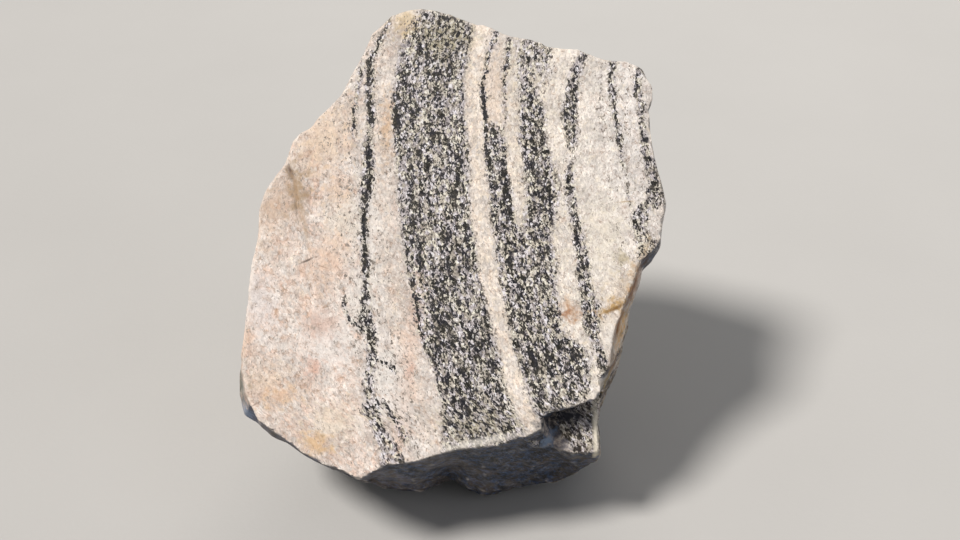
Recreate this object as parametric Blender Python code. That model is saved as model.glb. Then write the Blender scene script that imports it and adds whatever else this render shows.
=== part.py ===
# Gneiss specimen: one rough block with a flat banded face, resting on a small flat spot.
#
# The block is drawn in its own face frame, in millimetres: u runs to the right along the face,
# v runs up the face, and depth runs straight back into the stone from the face.
# The face leans back, and the stone stands on a spot under its thick lower end.

import math
import random

import bmesh
import bpy
from mathutils import Matrix, Vector, noise

NODE_NAME = "gneiss_block"
MM = 0.001
FACE_LEAN = math.radians(45.0)

# Depths behind the face at which the sides of the stone are drawn.
SHOULDER_DEPTH = 18.0
BELLY_DEPTH = 60.0
WAIST_DEPTH = 100.0
TAIL_DEPTH = 150.0

# The sides of the stone, clockwise from the top left corner of the face. A row is one corner of
# the face's edge, as u and v, and how far the side stands out past it at the shoulder and at
# the belly. Waist and tail say the same for the whole side further back. Less than zero draws
# the side in.
SIDES = [
    {
        "name": "top",
        "waist": -12.0,
        "tail": -30.0,
        "rows": [
            (-43.5, 110.5, 1, -4), (-39.5, 114.5, 1, -4), (-34, 116.7, 1, -4),
            (-27.5, 117.7, 1, -4), (-21, 117.3, 1, -4), (-13.5, 115, 1, -4),
            (-4.5, 111.5, 1, -4), (5, 109.2, 1, -5), (10, 106, 1, -5), (17.5, 104.2, 1, -5),
            (26.5, 102.5, 1, -5), (29.5, 100.3, 1, -5), (36, 98.8, 1, -5), (42.5, 99, 1, -5),
            (48.5, 97, 1, -5), (56, 94.3, 1, -5), (64.5, 93.7, 1, -5), (72, 90, 1, -5),
        ],
    },
    {
        "name": "right",
        "waist": -4.0,
        "tail": -16.0,
        "rows": [
            (74, 84.5, 1, 0), (76, 82, 1, 0), (76, 76, 1, 0), (74.3, 72, 1, 0),
            (75, 63.5, 1, 1), (75.8, 54, 1, 1), (77.8, 43, 1, 2), (80.4, 30, 1, 2),
            (78.8, 22, 1, 2), (78, 14, 1, 1),
        ],
    },
    {
        "name": "stained",
        "waist": 2.0,
        "tail": -14.0,
        "rows": [
            (75.5, 9.5, 0.5, 1), (70, 4.8, 1.5, 3), (67, -2, 4, 6), (65, -9, 4.5, 7),
            (62, -15.5, 5, 8), (58.5, -24, 6.5, 9), (56.5, -32, 7, 9), (55.5, -41, 5, 7),
            (51, -47, 6, 8), (50, -55, 2.5, 5),
        ],
    },
    {
        "name": "ledge",
        "waist": 0.0,
        "tail": -16.0,
        "rows": [(49, -64, 1, 4), (50, -75.5, 1, 9)],
    },
    {
        "name": "underside",
        "waist": -7.0,
        "tail": -34.0,
        "rows": [
            (40, -77.3, 0.3, 12.5), (30, -73.8, 1, 17.5), (17, -71.7, 6, 21.3),
            (8.5, -74.5, 6, 20.4), (0, -75.7, 6, 20.4), (-8.5, -76.2, 5, 18.5),
            (-14.5, -77.5, 3, 11), (-23, -80, 4, 13), (-31.5, -82.2, 5, 14.5),
            (-38, -82.6, 5, 13), (-44, -85, 3, 9),
        ],
    },
    {
        "name": "heel",
        "waist": -8.0,
        "tail": -34.0,
        "rows": [
            (-51, -89, 1, 2), (-56.5, -85.8, 1.5, 2), (-65, -82.6, 1.5, 2),
            (-73.5, -78.3, 2, 2.5), (-82, -72, 2.5, 3), (-88.5, -68, 3, 4),
            (-93.6, -64, 2.5, 3.5),
        ],
    },
    {
        "name": "low_left",
        "waist": -4.0,
        "tail": -22.0,
        "rows": [
            (-97.2, -57.6, 6, 8), (-99.2, -50.5, 6.3, 8), (-101, -43, 5, 7),
            (-101.6, -35.6, 3.5, 6),
        ],
    },
    {
        "name": "left",
        "waist": -5.0,
        "tail": -20.0,
        "rows": [
            (-100.8, -28, 1, 3), (-100.3, -19.5, 1, 3), (-99.6, -8.5, 1, 3),
            (-98.2, 3.5, 1, 3), (-96.6, 11, 1, 3), (-96, 26.2, 1, 2), (-93.8, 35.2, 1, 2),
            (-88.6, 43.2, 1, 2), (-84, 49.5, 1, 2), (-82, 56.7, 1, 2), (-79, 61.2, 1, 0),
        ],
    },
    {
        "name": "upper_left",
        "waist": -12.0,
        "tail": -26.0,
        "rows": [
            (-74.9, 62.8, 1, -3), (-70.2, 68.6, 0.5, -3), (-63.8, 74.9, 0.5, -3),
            (-59.8, 80.4, 0.5, -3), (-56.3, 87.6, 0.5, -3), (-51.8, 96, 0.5, -3),
            (-48, 106.2, 1, -3),
        ],
    },
]
# The side faces away from the line through the corners this many places before and after.
SIDE_REACH = 3
# Small corners of the face's edge die out further back: each is averaged over this many
# neighbours on both sides.
EASING = {0.0: 0, SHOULDER_DEPTH: 0, BELLY_DEPTH: 0, WAIST_DEPTH: 3, TAIL_DEPTH: 4}

# Flakes that have broken off. Each is the space from a mouth outline at one depth down to a
# floor outline at another. The floor's depth is that at v = 0, and its slope is the depth it
# gains for each millimetre up the face.
FLAKE_SCARS = {
    # The lower right corner of the face, under an overhang, down to a flat floor.
    "corner_flake": {
        "mouth_depth": -1.0,
        "mouth": [
            (8, -100), (16.5, -72.2), (25.8, -67.4), (25.3, -62.6), (28.7, -61.3),
            (50, -55), (80, -46), (80, -100),
        ],
        "floor_depth": 17.5,
        "floor_slope": 0.0,
        "floor": [
            (31, -100), (32, -73), (31.5, -69), (29.5, -62), (32, -58.5), (51, -51.5),
            (80, -42), (80, -100),
        ],
    },
    # A thin scale off the left of the face, deepest at its top.
    "left_scale": {
        "mouth_depth": -1.0,
        "mouth": [
            (-84, 52.5), (-79, 42), (-77, 31), (-74.5, 20), (-71, 9), (-69.5, -5), (-70, -30),
            (-120, -30), (-120, 52),
        ],
        "floor_depth": 1.3,
        "floor_slope": 0.042,
        "floor": [
            (-87, 50), (-82.5, 41), (-80.5, 31), (-78, 20), (-74.5, 9), (-72, -5), (-72, -30),
            (-120, -30), (-120, 50),
        ],
    },
    # A slab off the upper right of the back, split along the banding.
    "back_slab": {
        "mouth_depth": 160.0,
        "mouth": [(34, 110), (58, -40), (120, -40), (120, 110)],
        "floor_depth": 71.0,
        "floor_slope": -0.06,
        "floor": [(2, 110), (26, -18), (120, -26), (120, 110)],
    },
}

# Fracture planes: a point on each, as (u, v, depth), and the way it faces.
FRACTURES = {
    "back": ((0, 0, 121), (0.04, 0.20, 1.0)),
    "upper_back": ((0, 62, 88), (0.10, 0.72, 0.70)),
    "back_left": ((-66, -10, 90), (-0.74, 0.12, 0.66)),
    "back_right": ((56, 10, 86), (0.78, 0.10, 0.62)),
    "left_heel": ((-66, -70, 64), (-0.52, -0.52, 0.68)),
    "right_heel": ((44, -62, 84), (0.58, -0.50, 0.64)),
    "top_corner": ((66, 84, 30), (0.66, 0.50, 0.56)),
    "left_shoulder": ((-72, 62, 34), (-0.62, 0.42, 0.66)),
}

# Small breaks that take the points off the stone's back. Each cuts this far in from whatever
# stands out most along a random way, and is left out if it would reach the face.
CHIPS = 16
CHIP_SEED = 7
CHIP_DEPTHS = (2.0, 7.0)
CHIP_BACKWARD = (0.15, 0.95)
FACE_RIM = 12.0

# The flat spot that the stone rests on, square to the pull of gravity.
DOWN = Vector((0, -math.cos(FACE_LEAN), math.sin(FACE_LEAN)))
REST_DROP = 116.0
REST_SKIN = 0.05

LONGEST_EDGE = 10.0
FLAT_ANGLE = math.radians(0.2)

# How far the broken surface ripples, on the face and on the rougher sides, and how wide the
# broad and the fine ripples are.
FACE_ROUGHNESS = 0.35
SIDE_ROUGHNESS = 2.6
BROAD_RIPPLE = 36.0
BROAD_OCTAVES = 2
FINE_RIPPLE = 15.0
FINE_SHARE = 0.35

SHARP_ANGLE = math.radians(28.0)

# The average of the cream, pink and dark speckled bands, dry and freshly broken.
STONE_COLOR = (0.62, 0.53, 0.46, 1.0)
STONE_ROUGHNESS = 0.72


def clear_scene():
    for obj in list(bpy.data.objects):
        bpy.data.objects.remove(obj, do_unlink=True)


def outward(corners, index):
    before = corners[index - SIDE_REACH]
    after = corners[(index + SIDE_REACH) % len(corners)]
    along = after - before
    return Vector((-along.y, along.x)).normalized()


def eased(corners, index, reach):
    around = [corners[(index + step) % len(corners)] for step in range(-reach, reach + 1)]
    return sum(around, Vector((0, 0))) / len(around)


def side_rings():
    """The stone's outline at each depth, from the face to the tail."""
    corners = [Vector(row[:2]) for side in SIDES for row in side["rows"]]
    spreads = {
        0.0: [0.0] * len(corners),
        SHOULDER_DEPTH: [row[2] for side in SIDES for row in side["rows"]],
        BELLY_DEPTH: [row[3] for side in SIDES for row in side["rows"]],
        WAIST_DEPTH: [side["waist"] for side in SIDES for _ in side["rows"]],
        TAIL_DEPTH: [side["tail"] for side in SIDES for _ in side["rows"]],
    }
    rings = []
    for depth, spread in spreads.items():
        places = [
            eased(corners, index, EASING[depth]) + outward(corners, index) * spread[index]
            for index in range(len(corners))
        ]
        rings.append([Vector((place.x, place.y, depth)) for place in places])
    return rings


def solid_from_rings(rings):
    """A closed solid with a cap on its first and last ring and a wall between them."""
    bm = bmesh.new()
    rows = [[bm.verts.new(point) for point in ring] for ring in rings]
    bm.faces.new(rows[0])
    bm.faces.new(reversed(rows[-1]))
    for near, far in zip(rows, rows[1:]):
        for index in range(len(near)):
            after = (index + 1) % len(near)
            bm.faces.new((near[after], near[index], far[index], far[after]))
    bmesh.ops.recalc_face_normals(bm, faces=bm.faces)
    return bm


def cut_away(bm, point, normal):
    """Breaks off what lies beyond a plane and closes the break with one flat face."""
    geometry = bm.verts[:] + bm.edges[:] + bm.faces[:]
    cut = bmesh.ops.bisect_plane(
        bm, geom=geometry, plane_co=point, plane_no=normal, clear_outer=True
    )
    rim = [item for item in cut["geom_cut"] if isinstance(item, bmesh.types.BMEdge)]
    bmesh.ops.contextual_create(bm, geom=rim)


def chip_away(bm):
    chance = random.Random(CHIP_SEED)
    for _ in range(CHIPS):
        backward = chance.uniform(*CHIP_BACKWARD)
        turn = chance.uniform(0, 2 * math.pi)
        sideways = math.sqrt(1 - backward ** 2)
        way = Vector((math.cos(turn) * sideways, math.sin(turn) * sideways, backward))
        depth = chance.uniform(*CHIP_DEPTHS)
        level = max(vert.co.dot(way) for vert in bm.verts) - depth
        rim = max(vert.co.dot(way) for vert in bm.verts if vert.co.z < FACE_RIM)
        if rim < level:
            cut_away(bm, way * level, way)


def mesh_object(name, bm):
    bmesh.ops.triangulate(bm, faces=bm.faces)
    mesh = bpy.data.meshes.new(name)
    bm.to_mesh(mesh)
    bm.free()
    obj = bpy.data.objects.new(name, mesh)
    bpy.context.scene.collection.objects.link(obj)
    return obj


def broken_block():
    bm = solid_from_rings(side_rings())
    for point, normal in FRACTURES.values():
        cut_away(bm, Vector(point), Vector(normal).normalized())
    chip_away(bm)
    cut_away(bm, DOWN * REST_DROP, DOWN)
    return mesh_object(NODE_NAME, bm)


def flake_cutter(name, scar):
    mouth = [Vector((u, v, scar["mouth_depth"])) for u, v in scar["mouth"]]
    floor = [
        Vector((u, v, scar["floor_depth"] + scar["floor_slope"] * v)) for u, v in scar["floor"]
    ]
    cutter = mesh_object(name, solid_from_rings([mouth, floor]))
    cutter.hide_render = True
    cutter.display_type = "WIRE"
    return cutter


def break_off_flakes(block):
    cutters = [flake_cutter(name, scar) for name, scar in FLAKE_SCARS.items()]
    for cutter in cutters:
        flake = block.modifiers.new(cutter.name, "BOOLEAN")
        flake.operation = "DIFFERENCE"
        flake.solver = "EXACT"
        flake.object = cutter
    graph = bpy.context.evaluated_depsgraph_get()
    block.data = bpy.data.meshes.new_from_object(block.evaluated_get(graph))
    block.modifiers.clear()
    for cutter in cutters:
        bpy.data.objects.remove(cutter, do_unlink=True)


def split_long_edges(bm):
    """Splits edges until none is longer than LONGEST_EDGE, and evens out the flat parts."""
    while True:
        bmesh.ops.triangulate(bm, faces=[face for face in bm.faces if len(face.verts) > 3])
        inner = [edge for edge in bm.edges if edge.calc_face_angle() < FLAT_ANGLE]
        bmesh.ops.beautify_fill(bm, faces=bm.faces, edges=inner)
        long_edges = [edge for edge in bm.edges if edge.calc_length() > LONGEST_EDGE]
        if not long_edges:
            return
        bmesh.ops.subdivide_edges(bm, edges=long_edges, cuts=1)


def ramp(value, start, end):
    share = min(max((value - start) / (end - start), 0.0), 1.0)
    return share * share * (3 - 2 * share)


def height_over_rest(point):
    return REST_DROP - point.dot(DOWN)


def roughen(bm):
    """Moves each point along its way out by a broad and a fine ripple, less on the face."""
    bm.normal_update()
    moved = []
    for vert in bm.verts:
        broad = noise.fractal(vert.co / BROAD_RIPPLE, 1.0, 2.0, BROAD_OCTAVES)
        fine = noise.noise(vert.co / FINE_RIPPLE)
        depth_share = ramp(vert.co.z, 0.0, SHOULDER_DEPTH)
        roughness = FACE_ROUGHNESS + (SIDE_ROUGHNESS - FACE_ROUGHNESS) * depth_share
        place = vert.co + vert.normal * roughness * (broad + FINE_SHARE * fine)
        moved.append(place)
    for vert, place in zip(bm.verts, moved):
        if height_over_rest(vert.co) > REST_SKIN and height_over_rest(place) > REST_SKIN:
            vert.co = place


def face_frame():
    """Turns (u, v, depth) in millimetres into the leaning stone's place in metres."""
    right = Vector((1, 0, 0))
    up_the_face = Vector((0, math.sin(FACE_LEAN), math.cos(FACE_LEAN)))
    into_stone = Vector((0, math.cos(FACE_LEAN), -math.sin(FACE_LEAN)))
    axes = Matrix((right, up_the_face, into_stone)).transposed()
    return axes.to_4x4() @ Matrix.Scale(MM, 4)


def place_on_ground(mesh):
    """Leans the stone, and sets the middle of its box over the origin and its spot at zero."""
    mesh.transform(face_frame())
    mesh.flip_normals()
    low = Vector([min(vert.co[axis] for vert in mesh.vertices) for axis in range(3)])
    high = Vector([max(vert.co[axis] for vert in mesh.vertices) for axis in range(3)])
    middle = (low + high) / 2
    mesh.transform(Matrix.Translation((-middle.x, -middle.y, -low.z)))


def gneiss_material():
    material = bpy.data.materials.new("gneiss")
    material.use_nodes = True
    shader = material.node_tree.nodes["Principled BSDF"]
    shader.inputs["Base Color"].default_value = STONE_COLOR
    shader.inputs["Roughness"].default_value = STONE_ROUGHNESS
    shader.inputs["Metallic"].default_value = 0.0
    return material


def main():
    clear_scene()
    block = broken_block()
    break_off_flakes(block)
    bm = bmesh.new()
    bm.from_mesh(block.data)
    split_long_edges(bm)
    roughen(bm)
    bm.to_mesh(block.data)
    bm.free()
    place_on_ground(block.data)
    block.data.shade_smooth()
    block.data.set_sharp_from_angle(angle=SHARP_ANGLE)
    block.data.materials.clear()
    block.data.materials.append(gneiss_material())


main()
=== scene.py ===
import itertools
import math

import bmesh
import bpy
import numpy as np
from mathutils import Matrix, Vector


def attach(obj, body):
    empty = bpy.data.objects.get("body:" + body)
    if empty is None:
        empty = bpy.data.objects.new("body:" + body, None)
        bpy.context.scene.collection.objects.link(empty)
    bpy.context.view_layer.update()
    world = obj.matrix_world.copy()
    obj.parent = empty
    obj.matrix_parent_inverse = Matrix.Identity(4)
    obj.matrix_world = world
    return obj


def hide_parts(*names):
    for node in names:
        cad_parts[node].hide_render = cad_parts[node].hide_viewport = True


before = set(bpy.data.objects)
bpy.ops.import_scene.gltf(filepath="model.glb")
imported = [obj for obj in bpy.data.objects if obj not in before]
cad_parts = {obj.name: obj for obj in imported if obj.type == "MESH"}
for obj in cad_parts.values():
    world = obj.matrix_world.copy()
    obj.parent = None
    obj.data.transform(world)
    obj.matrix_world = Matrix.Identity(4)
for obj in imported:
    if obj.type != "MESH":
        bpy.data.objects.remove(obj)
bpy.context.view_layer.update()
print("frame loaded")

mm = 0.001
scene = bpy.context.scene

# The banded front face leans back 45 degrees. Its middle and the directions
# across it, up it and into the stone place every band, stain and crack.
lean = math.radians(45)
face = {
    "middle": Vector((0.01279, -0.02195, 0.11600)),
    "across": Vector((1, 0, 0)),
    "up": Vector((0, math.cos(lean), math.sin(lean))),
    "into": Vector((0, math.cos(lean), -math.sin(lean))),
    "bandDip": 0.5,  # the bands shift this far right for each millimetre of depth
    # height on the face, and how far the layers have bent across it there (mm)
    "bend": [(-100, 34), (-84, 25), (-67, 19), (-56, 12.3), (-39, 8.1), (-30, 5.5), (-17, 2.6),
             (-4, -0.4), (13, -2.2), (22, -3.9), (40, -4.8), (62, -5.8), (78, -7), (94, -5.8),
             (112, -3.6), (130, -2)],
}


def linear(hexColor):
    values = [int(hexColor[i:i + 2], 16) / 255 for i in (1, 3, 5)]
    values = [v / 12.92 if v < 0.04045 else ((v + 0.055) / 1.055) ** 2.4 for v in values]
    return (*values, 1)


def setCurve(curve, rows):
    rows = sorted(rows)
    curve.points[0].location = rows[0]
    curve.points[-1].location = rows[-1]
    for row in rows[1:-1]:
        curve.points.new(*row)
    for point in curve.points:
        point.handle_type = "AUTO_CLAMPED"


def addNode(tree, kind, inputs=None, stops=None, curves=None, **settings):
    # One node with its settings, its colour stops or curve rows, its values and its links.
    # Sockets go by number where names repeat or are long. On a MapRange 1 and 2 are the range
    # that is read and 3 and 4 the range that is given. On a Mix 0 is the share of the second,
    # with the two colours on 6 and 7 and two plain values on 2 and 3.
    node = tree.nodes.new("ShaderNode" + kind)
    for name, value in settings.items():
        setattr(node, name, value)
    if stops:
        elements = node.color_ramp.elements
        while len(elements) < len(stops):
            elements.new(0.5)
        for element, (position, color) in zip(elements, stops):
            element.position = position
            element.color = linear(color)
    if curves:
        node.mapping.use_clip = False
        node.mapping.extend = "HORIZONTAL"
        for curve, rows in zip(node.mapping.curves, curves):
            setCurve(curve, rows)
        node.mapping.update()
    for name, value in (inputs or {}).items():
        if isinstance(value, str):
            value = linear(value)
        if isinstance(value, bpy.types.Node):
            value = next(socket for socket in value.outputs if socket.enabled)
        if isinstance(value, bpy.types.NodeSocket):
            tree.links.new(value, node.inputs[name])
        else:
            node.inputs[name].default_value = value
    return node


def latticeValue(cell, seed):
    # a random number from -1 to 1 for each lattice cell, the same on every run
    mixed = cell[:, 0] * 73856093 ^ cell[:, 1] * 19349663 ^ cell[:, 2] * 83492791 ^ seed * 961748927
    mixed = (mixed ^ (mixed >> 13)) * 1274126177
    mixed = mixed ^ (mixed >> 16)
    return (mixed & 0xffff) / 32767.5 - 1


def softNoise(points, size, seed):
    # smooth swells and dips of about the given size
    scaled = points / np.asarray(size, float)
    cell = np.floor(scaled).astype(np.int64)
    t = scaled - cell
    t = t * t * t * (t * (t * 6 - 15) + 10)
    total = np.zeros(len(points))
    for corner in itertools.product((0, 1), repeat=3):
        weight = np.prod(np.where(corner, t, 1 - t), axis=1)
        total += weight * latticeValue(cell + np.array(corner), seed)
    return total


def scallops(points, size, seed):
    # shallow bowls with sharp crests between them, as flakes leave in broken stone
    scatter, slant, uneven = 0.45, 0.55, 0.25  # of a bowl's place, tilt and depth
    scaled = points / size
    cell = np.floor(scaled).astype(np.int64)
    lowest = np.full(len(points), np.inf)
    for step in itertools.product((-1, 0, 1), repeat=3):
        site = cell + np.array(step)
        draw = [latticeValue(site, seed + k) for k in range(7)]
        gap = scaled - site - 0.5 - scatter * np.stack(draw[0:3], axis=1)
        tilt = slant * np.stack(draw[3:6], axis=1)
        lowest = np.minimum(lowest, (gap * (gap + tilt)).sum(axis=1) + uneven * draw[6])
    return lowest - lowest.mean()


def smoothStep(value, low, high):
    t = np.clip((value - low) / (high - low), 0, 1)
    return t * t * (3 - 2 * t)


def meshArrays(mesh):
    points = np.empty(len(mesh.vertices) * 3)
    mesh.vertices.foreach_get("co", points)
    normals = np.empty(len(mesh.vertices) * 3)
    mesh.vertex_normals.foreach_get("vector", normals)
    edges = np.empty(len(mesh.edges) * 2, np.int32)
    mesh.edges.foreach_get("vertices", edges)
    return points.reshape(-1, 3), normals.reshape(-1, 3), edges.reshape(-1, 2)


def convexity(points, normals, edges, rounds):
    # how far each point stands out of its smoothed surroundings, in metres
    start = np.concatenate([edges[:, 0], edges[:, 1]])
    end = np.concatenate([edges[:, 1], edges[:, 0]])
    count = np.bincount(start, minlength=len(points))
    smooth = points.copy()
    for _ in range(rounds):
        for axis in range(3):
            smooth[:, axis] = np.bincount(start, smooth[end, axis], len(points)) / count
    return ((points - smooth) * normals).sum(axis=1)


def applyModifiers(stone):
    graph = bpy.context.evaluated_depsgraph_get()
    mesh = bpy.data.meshes.new_from_object(stone.evaluated_get(graph))
    mesh.name = stone.name
    stone.modifiers.clear()
    stone.data = mesh


def faceCoordinates(points):
    # places on the front face in mm, and the distance from the cream layer across the layers
    fromMiddle = (points - np.array(face["middle"])) / mm
    across = fromMiddle @ np.array(face["across"])
    up = fromMiddle @ np.array(face["up"])
    into = fromMiddle @ np.array(face["into"])
    heights, bends = zip(*face["bend"])
    layer = across - face["bandDip"] * into - np.interp(up, heights, bends)
    return across, up, into, layer


# Shape of the stone: the plain solid is meshed evenly, then gets the relief of broken rock.
stoneShape = {
    "weld": 0.01 * mm,
    "voxel": 0.8 * mm,
    "softening": 0.3,                 # smoothing of the even mesh
    "mostTriangles": 190000,
    "creaseAngle": 34,                # degrees at which an edge is shaded sharp
    "flatBelow": 0.35 * mm,           # the rest spot stays flat
    "restFade": 6 * mm,               # relief grows to full size over this height
    # the front face ends where it turns away, and this far behind its plane (mm)
    "frontFacing": (0.75, 0.95),
    "frontDepth": (4, 9),
    # relief: size and depth in mm, on the front face and on the broken sides
    "relief": {
        "broad": {"pattern": softNoise, "seed": 1, "size": 19, "front": 0.30, "sides": 0.9},
        "scars": {"pattern": scallops, "seed": 11, "size": 12, "front": 0.22, "sides": 1.6},
        "chips": {"pattern": scallops, "seed": 23, "size": 4.6, "front": 0.16, "sides": 0.55},
        "grains": {"pattern": softNoise, "seed": 31, "size": 1.9, "front": 0.16, "sides": 0.22},
        "layers": {"pattern": softNoise, "seed": 41, "size": (2.6, 34, 18), "front": 0.14,
                   "sides": 0.45},
    },
    "calmSides": 0.35,                # share of the side relief that is left beside the front
    "calmDepth": (15, 45),            # mm behind the front over which the rest comes in
    # flakes and crumbs that came off the sharp edges: size and depth in mm
    "rimFlakes": ((4.5, 1.3), (1.9, 0.8)),
    "flakeSeed": 51,
    "flakeEdge": 0.5,                 # a flake is full depth where its noise passes this
    "rimStandsOut": (0.25 * mm, 1.1 * mm),  # from its smoothed surroundings
    "rimRounds": 10,                  # rounds of smoothing that show the rims
    "edgeRounds": 6,                  # and those that show the edges to the material
}


def buildStone(node, shape):
    welded = bmesh.new()
    welded.from_mesh(node.data)
    bmesh.ops.remove_doubles(welded, verts=welded.verts, dist=shape["weld"])
    mesh = bpy.data.meshes.new("gneissStone")
    welded.to_mesh(mesh)
    welded.free()
    stone = bpy.data.objects.new("gneissStone", mesh)
    scene.collection.objects.link(stone)

    remesh = stone.modifiers.new("evenMesh", "REMESH")
    remesh.mode = "VOXEL"
    remesh.voxel_size = shape["voxel"]
    soften = stone.modifiers.new("soften", "SMOOTH")
    soften.factor = shape["softening"]
    applyModifiers(stone)

    points, normals, edges = meshArrays(stone.data)
    across, up, into, layer = faceCoordinates(points)
    layered = np.stack([layer, up, into], axis=1)
    inMm = points / mm
    facing = smoothStep(-normals @ np.array(face["into"]), *shape["frontFacing"])
    front = facing * (1 - smoothStep(into, *shape["frontDepth"]))
    rest = smoothStep(points[:, 2], shape["flatBelow"], shape["restFade"])

    # the sides keep crisp edges near the front face and grow rougher behind it
    calm = shape["calmSides"]
    rougher = (1 - front) * (calm + (1 - calm) * smoothStep(into, *shape["calmDepth"]))
    lift = np.zeros(len(points))
    for name, relief in shape["relief"].items():
        places = layered if name == "layers" else inMm  # ridges follow the bent layers
        pattern = relief["pattern"](places, relief["size"], relief["seed"])
        lift += pattern * (front * relief["front"] + rougher * relief["sides"])

    # small flakes have come off the sharp edges
    standsOut = convexity(points, normals, edges, shape["rimRounds"])
    rim = smoothStep(standsOut, *shape["rimStandsOut"])
    for size, depth in shape["rimFlakes"]:
        flake = softNoise(inMm, size, shape["flakeSeed"])
        lift -= rim * smoothStep(flake, 0.0, shape["flakeEdge"]) * depth

    points += normals * (lift * rest * mm)[:, None]
    points[:, 2] = np.where(points[:, 2] < shape["flatBelow"], 0, points[:, 2])
    stone.data.vertices.foreach_set("co", points.ravel())
    stone.data.update()

    triangles = sum(len(polygon.vertices) - 2 for polygon in stone.data.polygons)
    if triangles > shape["mostTriangles"]:
        thin = stone.modifiers.new("fewerFaces", "DECIMATE")
        thin.ratio = shape["mostTriangles"] / triangles
        applyModifiers(stone)
    stone.data.shade_smooth()
    stone.data.set_sharp_from_angle(angle=math.radians(shape["creaseAngle"]))

    # the material reads how far each edge stands out and each hollow lies in, in mm
    points, normals, edges = meshArrays(stone.data)
    edgeShape = convexity(points, normals, edges, shape["edgeRounds"]) / mm
    attribute = stone.data.attributes.new("edgeShape", "FLOAT", "POINT")
    attribute.data.foreach_set("value", edgeShape.astype(np.float32))
    print("stone built:", triangles, "triangles before thinning,",
          len(stone.data.polygons), "faces now")
    return stone


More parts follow.
